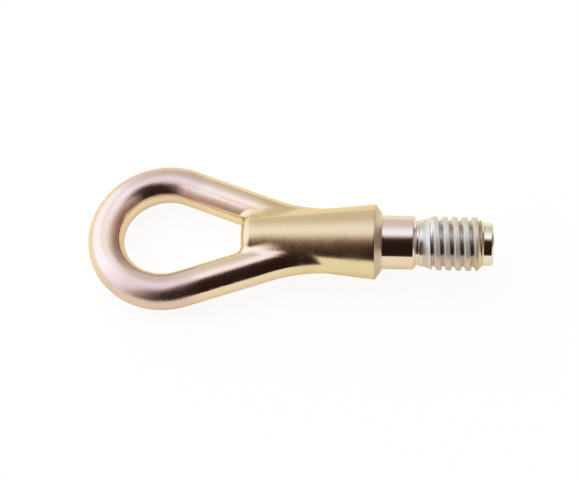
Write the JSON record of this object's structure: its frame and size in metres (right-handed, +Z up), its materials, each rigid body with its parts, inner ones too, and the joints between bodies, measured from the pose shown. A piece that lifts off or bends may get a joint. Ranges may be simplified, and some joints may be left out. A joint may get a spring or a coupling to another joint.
{
  "type": "tow eye",
  "caption": "Screw-in tow eye for a car: a forged teardrop ring running into a conical shank, with a turned shoulder, guide collar and coarse thread.",
  "frame": {"origin": "on the floor, under the middle of the part's bounding box as it lies at rest", "axes": "+X along the part towards the tip of the thread, +Y to its left across the flat of the eye, +Z up from the floor"},
  "size_m": [0.1676, 0.065, 0.0309],
  "materials": {
    "plated_steel": "bright zinc plate with a thin yellow passivation, straw to rosy on the forged eye and nearly silver on the turned end"
  },
  "bodies": {
    "root": {"tow_eye": "plated_steel"}
  },
  "joints": []
}
